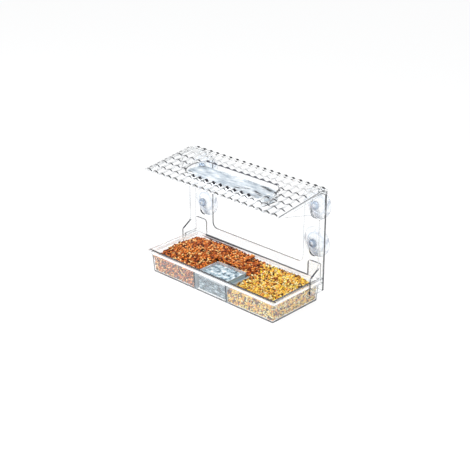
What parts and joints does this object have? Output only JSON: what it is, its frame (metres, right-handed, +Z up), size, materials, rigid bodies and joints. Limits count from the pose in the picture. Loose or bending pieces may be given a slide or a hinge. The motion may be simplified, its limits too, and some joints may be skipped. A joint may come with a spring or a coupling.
{
  "type": "window bird feeder",
  "caption": "Clear window bird feeder: frame with suction cups, tiled roof with a bath, sliding tray with feed beds and a lift-out water dish.",
  "frame": {"origin": "centre of the bounding box at the foot of the tray", "axes": "+X along the feeder's length, +Y towards the window pane, +Z up"},
  "size_m": [0.3018, 0.1264, 0.2026],
  "materials": {
    "clear_plastic": "polished clear moulding",
    "soft_clear_plastic": "soft clear moulding",
    "water": "still water",
    "brown_feed": "dry grain",
    "yellow_feed": "dry grain"
  },
  "bodies": {
    "frame": {"back_frame": "clear_plastic", "roof": "clear_plastic", "bath_water": "water"},
    "tray": {"tray": "clear_plastic", "feed_bed_left": "brown_feed", "feed_bed_right": "yellow_feed"},
    "dish": {"water_dish": "clear_plastic", "dish_water": "water"},
    "cup_upper_left": {"suction_cup_upper_left": "soft_clear_plastic"},
    "cup_upper_right": {"suction_cup_upper_right": "soft_clear_plastic"},
    "cup_lower_left": {"suction_cup_lower_left": "soft_clear_plastic"},
    "cup_lower_right": {"suction_cup_lower_right": "soft_clear_plastic"}
  },
  "joints": [
    {"name": "tray_slide", "type": "slide", "parent": "frame", "child": "tray", "axis": [0, -1, 0], "range_m": [0, 0.12]},
    {"name": "dish_lift", "type": "slide", "parent": "tray", "child": "dish", "axis": [0, 0, 1], "range_m": [0, 0.05]},
    {"name": "cup_upper_left_slide", "type": "slide", "parent": "frame", "child": "cup_upper_left", "axis": [0, 0, -1], "range_m": [0, 0.014]},
    {"name": "cup_upper_right_slide", "type": "slide", "parent": "frame", "child": "cup_upper_right", "axis": [0, 0, -1], "range_m": [0, 0.014]},
    {"name": "cup_lower_left_slide", "type": "slide", "parent": "frame", "child": "cup_lower_left", "axis": [0, 0, -1], "range_m": [0, 0.014]},
    {"name": "cup_lower_right_slide", "type": "slide", "parent": "frame", "child": "cup_lower_right", "axis": [0, 0, -1], "range_m": [0, 0.014]}
  ]
}
